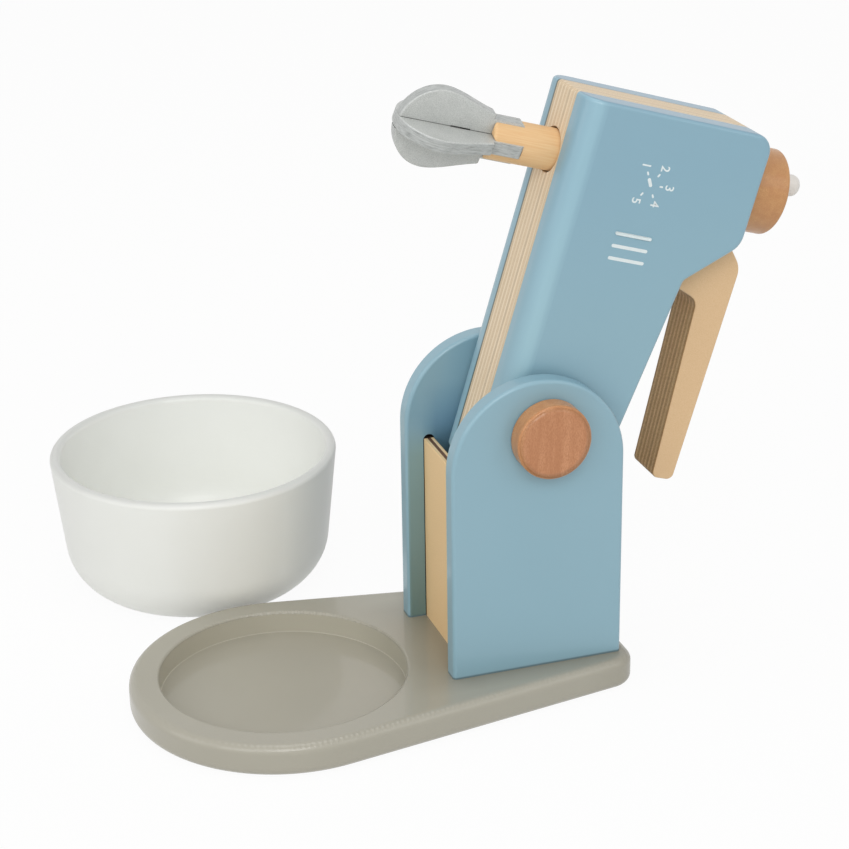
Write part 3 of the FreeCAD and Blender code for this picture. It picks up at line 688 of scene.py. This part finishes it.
# Bowl and crank peg: satin white lacquer on turned wood, nearly even, with the faintest rings left by
# the lathe tool.
whiteLacquer = {
    "bowl": "#F5F6F2",
    "bowlCloud": "#F1F2ED",
    "peg": "#E0DCD6",
    "cloudMm": 30,
    "ringMm": 1.8,
    "ringDepthMm": 0.004,
    "roughness": 0.36,
    # painted shade on the bowl, darker on its left, on the side towards the mixer and on the rim, a touch
    # lighter between:
    # by how far the surface turns to a direction, from one share of the colour to another, and whether
    # outside or towards the rim
    "bowlShades": (
        ((0.978, -0.209, 0.0), (-0.9, 0.35), (0.882, 1.018), "outside"),
        ((0.978, -0.209, 0.0), (0.6, 0.92), (1.0, 0.72), "outside"),
        ((0.0, 0.0, 1.0), (0.15, 0.9), (1.0, 0.75), "rim"),
    ),
    "outsideMm": 15,  # the painted shade on the outside counts in full from here on
    "rimMm": (50, 58),
    "floorShare": 0.6,  # how much of the rim's painted shade the bowl's floor has
}


def bowlShadeNodes(tree, normal, local, height, colour):
    look = whiteLacquer
    radial = addNode(tree, "VectorMath", {0: local, 1: flatOnly}, operation="MULTIPLY")
    outward = addNode(tree, "VectorMath", {0: normal, 1: radial}, operation="DOT_PRODUCT")
    places = {
        "outside": addNode(tree, "MapRange", {"Value": outward, "From Max": look["outsideMm"] * mm}),
        "rim": addNode(tree, "MapRange", {
            "Value": height, **between(look["rimMm"], mm), "To Min": look["floorShare"]}),
    }
    for direction, turns, shares, where in look["bowlShades"]:
        turned = addNode(tree, "VectorMath", {0: normal, 1: direction}, operation="DOT_PRODUCT")
        share = addNode(tree, "MapRange", {
            "Value": turned, **between(turns), "To Min": shares[0], "To Max": shares[1]})
        applied = addNode(tree, "MapRange", {"Value": places[where], "To Min": 1.0, "To Max": share})
        colour = addNode(tree, "VectorMath", {0: colour, "Scale": applied}, operation="SCALE")
    return colour


def makeWhite(name, colour, cloud, place, turn, shaded=False):
    look = whiteLacquer
    material, tree, shader = startMaterial("satin white lacquer, " + name, look)
    coords, local = ownSpace(tree, place, turn)
    height = addNode(tree, "SeparateXYZ", {0: local}).outputs["Z"]
    drift = addNode(tree, "TexNoise", {"Vector": local, "Scale": 1000 / look["cloudMm"], "Detail": 2.0})
    tinted = addNode(tree, "Mix", {0: drift, 6: colour, 7: cloud}, data_type="RGBA")
    # painted shade on the bowl
    if shaded:
        tinted = bowlShadeNodes(tree, coords.outputs["Normal"], local, height, tinted)
    phase = addNode(tree, "Math", {
        0: height, 1: 2 * math.pi * 1000 / look["ringMm"], 2: drift}, operation="MULTIPLY_ADD")
    rings = addNode(tree, "Math", {0: phase}, operation="SINE")
    bump = addNode(tree, "Bump", {"Distance": look["ringDepthMm"] * mm, "Height": rings})
    feed(tree, shader, {"Base Color": tinted, "Normal": bump})
    return material


setFinish(["bowl"], makeWhite(
    "bowl", whiteLacquer["bowl"], whiteLacquer["bowlCloud"], toy["bowlAxis"], noTurn, shaded=True))
setFinish(["crank_peg"], makeWhite(
    "crank peg", whiteLacquer["peg"], whiteLacquer["peg"], toy["whiskOnAxis"], dowelTurn.to_euler()))


# zinc-plated steel screws: cool grey metal with a slight bluish cast and fine tooling marks
screwZinc = {
    "colour": "#BFC2C4",
    "mark": "#A9ADB0",
    "markMm": 0.4,
    "reliefMm": 0.01,
    "roughness": 0.32,
    "metallic": 1.0,
}
# pressed vulcanised-fibre washers: dull dark grey with a mottled felted surface
fibreWasher = {
    "colour": "#4A4641",
    "mark": "#5A554E",
    "markMm": 0.8,
    "reliefMm": 0.01,
    "roughness": 0.7,
}


def makeMottled(name, look):
    material, tree, shader = startMaterial(name, look)
    coords = addNode(tree, "TexCoord")
    noise = addNode(tree, "TexNoise", {
        "Vector": coords.outputs["Object"], "Scale": 1000 / look["markMm"], "Detail": 3.0})
    colour = addNode(tree, "Mix", {0: noise, 6: look["colour"], 7: look["mark"]}, data_type="RGBA")
    feed(tree, shader, {"Base Color": colour})
    if "reliefMm" in look:
        bump = addNode(tree, "Bump", {"Distance": look["reliefMm"] * mm, "Height": noise})
        feed(tree, shader, {"Normal": bump})
    return material


setFinish(["base_screws"], makeMottled("zinc-plated steel", screwZinc))
setFinish(["left_washer", "right_washer"], makeMottled("vulcanised fibre", fibreWasher))
print("paint, white lacquer and hardware done")


# Screen print on the right cheek: opaque off-white ink, a few hundredths of a millimetre proud, pushed
# through a mesh that leaves its edges clean and its film slightly uneven.
printInk = {
    "colour": "#E3EAEA",
    "mark": "#D3DEE0",  # where the film is thin
    "markMm": 2.5,
    "roughness": 0.5,
    "filmMm": 0.09,  # half of it stands proud of the cheek
    "endRounding": 0.49,  # the share of a bar's width
    "endSteps": 6,
    "cornerSlack": 1e-7,  # metres, for telling a corner edge
    "capShare": 0.7,  # a number's height as a share of its font's size
    "boldMm": 0.06,
    "curveSteps": 4,
}
ink = makeMottled("screen print ink", printInk)


def printPlace(reach, rise):  # on the cheek with the arm level, so many mm on and up from the pivot
    return Vector((toy["pivot"].x - reach * mm, toy["cheekFaceY"], toy["pivot"].z + rise * mm))


def addBar(reach, rise, lengthMm, widthMm, turn):  # a flat bar with round ends; turn 0 stands upright
    bpy.ops.object.select_all(action="DESELECT")
    bpy.ops.mesh.primitive_cube_add(size=1.0, location=printPlace(reach, rise))
    bar = bpy.context.object
    bar.scale = (widthMm * mm, printInk["filmMm"] * mm, lengthMm * mm)
    bar.rotation_euler = (0.0, turn, 0.0)
    bpy.ops.object.transform_apply(location=False, rotation=False, scale=True)
    bpy.ops.object.mode_set(mode="EDIT")
    bpy.ops.mesh.select_all(action="DESELECT")
    bpy.ops.object.mode_set(mode="OBJECT")
    for edge in bar.data.edges:  # the short corner edges, which run through the ink
        start, end = (bar.data.vertices[i].co for i in edge.vertices)
        edge.select = (end - start).xz.length < printInk["cornerSlack"]
    bpy.ops.object.mode_set(mode="EDIT")
    bpy.ops.mesh.select_mode(type="EDGE")
    bpy.ops.mesh.bevel(
        offset=printInk["endRounding"] * widthMm * mm, segments=printInk["endSteps"], affect="EDGES")
    bpy.ops.object.mode_set(mode="OBJECT")
    return bar


def addNumber(text, reach, rise, heightMm):
    bpy.ops.object.select_all(action="DESELECT")
    bpy.ops.object.text_add(location=printPlace(reach, rise), rotation=(quarterTurn, 0.0, 0.0))
    number = bpy.context.object
    number.data.body = text
    number.data.align_x = "CENTER"
    number.data.align_y = "CENTER"
    number.data.size = heightMm * mm / printInk["capShare"]
    number.data.offset = printInk["boldMm"] * mm
    number.data.extrude = printInk["filmMm"] / 2 * mm
    number.data.resolution_u = printInk["curveSteps"]
    bpy.ops.object.convert(target="MESH")
    return bpy.context.object


def finishPrint(pieces, name):  # joins, parks with the arm and leaves the place in the mesh
    bpy.ops.object.select_all(action="DESELECT")
    for piece in pieces:
        piece.select_set(True)
    bpy.context.view_layer.objects.active = pieces[0]
    bpy.ops.object.join()
    joined = bpy.context.object
    joined.name = name
    bpy.ops.object.transform_apply(location=True, rotation=True, scale=True)
    joined.matrix_world = parkArm
    bpy.ops.object.transform_apply(location=True, rotation=True, scale=True)
    joined.data.materials.clear()
    joined.data.materials.append(ink)
    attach(joined, "arm")


ventStripes = {"reachesMm": (78.4, 73.5, 68.7), "riseMm": (8.1, 23.2), "widthMm": 1.3}
stripeLow, stripeHigh = ventStripes["riseMm"]
finishPrint([
    addBar(reach, (stripeLow + stripeHigh) / 2, stripeHigh - stripeLow, ventStripes["widthMm"], 0.0)
    for reach in ventStripes["reachesMm"]], "vent_stripes_print")

speedDial = {
    "centreMm": (98.5, 16.3),
    "numbers": ("1", "2", "3", "4", "5"),
    "numberRadiusMm": 7.9,
    "numberHeightMm": 3.5,
    "tickRadiusMm": 4.6,
    "tickMm": (1.5, 0.7),
    "pointerRadiusMm": 0.9,
    "pointerMm": (3.6, 1.3),
    "sweep": (-120, 120),  # degrees either side of straight up
    "setAt": 0,  # which of the numbers the pointer stands at
}


def dialPlace(angle, radiusMm):
    reach, rise = speedDial["centreMm"]
    return reach - math.sin(angle) * radiusMm, rise + math.cos(angle) * radiusMm


def makeSpeedDial():
    look = speedDial
    low, high = look["sweep"]
    steps = len(look["numbers"]) - 1
    angles = [math.radians(low + (high - low) * i / steps) for i in range(steps + 1)]
    marks = []
    for number, angle in zip(look["numbers"], angles):
        marks.append(addBar(*dialPlace(angle, look["tickRadiusMm"]), *look["tickMm"], angle))
        marks.append(addNumber(
            number, *dialPlace(angle, look["numberRadiusMm"]), look["numberHeightMm"]))
    angle = angles[look["setAt"]]
    marks.append(addBar(*dialPlace(angle, look["pointerRadiusMm"]), *look["pointerMm"], angle))
    finishPrint(marks, "speed_dial_print")


makeSpeedDial()
print("screen print done")


studio = {
    "floorSize": 16.0,
    "floorDrop": 0.0003,
    "floorColour": "#EEEEEC",
    "floorFinish": {"roughness": 0.9, "specular": 0.0},
    "shadowShare": 0.06,  # how much of the real shading the camera sees on the floor
    "worldStrength": 0.45,
    "lamps": (
        # name, place, size, watts
        ("key", (-0.4, -1.9, 1.6), 1.3, 18.5),
        ("left", (-1.6, -1.4, 1.3), 1.3, 8.5),
        ("edge", (-2.0, 0.0, 1.0), 1.3, 5.0),
        ("top", (0.1, 0.1, 2.2), 1.3, 8.0),
        ("fill", (1.4, -1.6, 1.2), 1.3, 4.5),
    ),
    "aim": (0.06, 0.03, 0.10),
}


def seenNodes(tree):  # 1 for what the camera sees, straight or in a shiny or clear surface
    path = addNode(tree, "LightPath")
    sharp = addNode(tree, "Math", {
        0: path.outputs["Is Glossy Ray"], 1: path.outputs["Is Transmission Ray"]}, operation="MAXIMUM")
    return addNode(tree, "Math", {0: path.outputs["Is Camera Ray"], 1: sharp}, operation="MAXIMUM")


def makeFloor():
    bpy.ops.object.select_all(action="DESELECT")
    bpy.ops.mesh.primitive_plane_add(size=studio["floorSize"], location=(0.0, 0.0, -studio["floorDrop"]))
    floor = bpy.context.object
    floor.name = "floor"
    material, tree, shader = startMaterial("pale studio floor", studio["floorFinish"])
    feed(tree, shader, {"Base Color": studio["floorColour"]})
    share = addNode(tree, "Math", {0: seenNodes(tree), 1: 1 - studio["shadowShare"]}, operation="MULTIPLY")
    glow = addNode(tree, "Emission", {"Color": "#FFFFFF", "Strength": 1.0})
    both = addNode(tree, "MixShader", {0: share, 1: shader, 2: glow})
    feed(tree, tree.nodes["Material Output"], {"Surface": both})
    floor.data.materials.append(material)


def makeWorld():
    world = bpy.data.worlds.new("studio")
    bpy.context.scene.world = world
    world.use_nodes = True
    tree = world.node_tree
    strength = addNode(tree, "MapRange", {
        "Value": seenNodes(tree), "To Min": studio["worldStrength"], "To Max": 1.0})
    feed(tree, tree.nodes["Background"], {"Color": "#FFFFFF", "Strength": strength})


def makeLamps():
    aim = Vector(studio["aim"])
    for name, place, size, watts in studio["lamps"]:
        data = bpy.data.lights.new(name, "AREA")
        data.shape = "DISK"
        data.size = size
        data.energy = watts
        lamp = bpy.data.objects.new(name, data)
        lamp.location = place
        lamp.rotation_euler = (aim - Vector(place)).to_track_quat("-Z", "Y").to_euler()
        bpy.context.scene.collection.objects.link(lamp)


camera = {
    "place": (-0.195747, -0.771058, 0.448101),
    "yaw": 18.351,
    "pitch": -22.651,
    "roll": -0.832,
    "lensMm": 97.88,
    "sensorMm": 36.0,
    "framePixels": 849,
    "shiftPixels": (-1.263, -4.112),
    "clip": (0.05, 50.0),
}


def makeCamera():
    data = bpy.data.cameras.new("camera")
    data.sensor_width = camera["sensorMm"]
    data.lens = camera["lensMm"]
    data.shift_x, data.shift_y = (shift / camera["framePixels"] for shift in camera["shiftPixels"])
    data.clip_start, data.clip_end = camera["clip"]
    view = bpy.data.objects.new("camera", data)
    turn = (Matrix.Rotation(math.radians(-camera["yaw"]), 4, "Z")
            @ Matrix.Rotation(math.radians(90 + camera["pitch"]), 4, "X")
            @ Matrix.Rotation(math.radians(camera["roll"]), 4, "Z"))
    view.matrix_world = Matrix.Translation(camera["place"]) @ turn
    bpy.context.scene.collection.objects.link(view)
    bpy.context.scene.camera = view


makeFloor()
makeWorld()
makeLamps()
makeCamera()
bpy.context.scene.view_settings.view_transform = "Standard"
print("floor, light and camera done")

bpy.context.view_layer.update()
